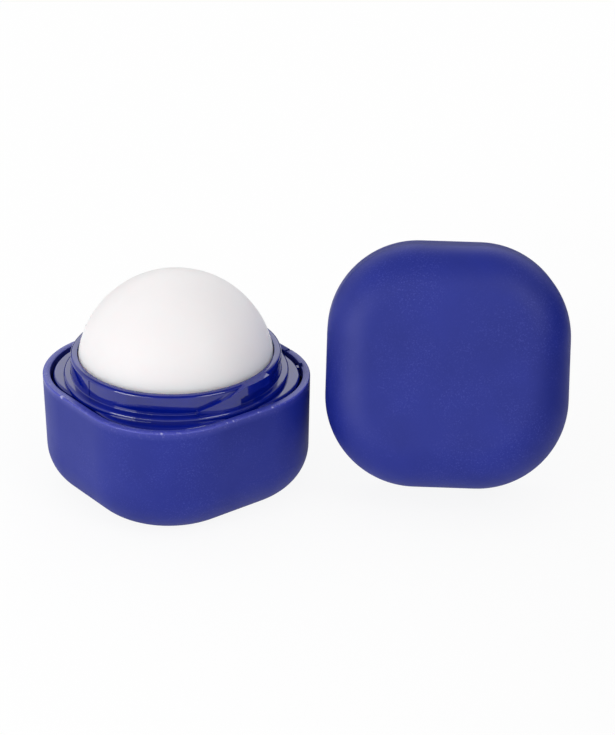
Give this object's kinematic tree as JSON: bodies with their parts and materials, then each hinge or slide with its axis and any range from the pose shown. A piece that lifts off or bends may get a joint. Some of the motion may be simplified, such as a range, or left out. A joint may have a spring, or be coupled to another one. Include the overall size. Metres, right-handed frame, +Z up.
{
  "type": "lip balm cube",
  "caption": "Opened twist-lock lip balm pot: a soft-cornered cube base with a domed balm in a lugged neck, and its hollow cap standing beside it.",
  "frame": {"origin": "middle of the base's flat underside, on the surface that it stands on", "axes": "+Z up along the base's neck, +X from the base towards the cap, -Y towards the front of the cap's top face"},
  "size_m": [0.0825, 0.0418, 0.04],
  "materials": {
    "outer_shell": "fine matte",
    "gloss_insert": "high gloss",
    "natural_insert": "satin",
    "balm": "smooth waxy"
  },
  "bodies": {
    "base": {"base_shell": "outer_shell", "collar": "gloss_insert", "balm_anchor": "natural_insert", "balm": "balm"},
    "cap": {"cap_shell": "outer_shell", "cap_liner": "gloss_insert"}
  },
  "joints": [
    {"name": "cap_twist", "type": "hinge", "parent": "base", "child": "cap", "pos_m": [0.04245, 0.0061, 0.01763], "axis": [-0.0322, -0.9233, 0.3827], "range_deg": [-45, 0]}
  ]
}
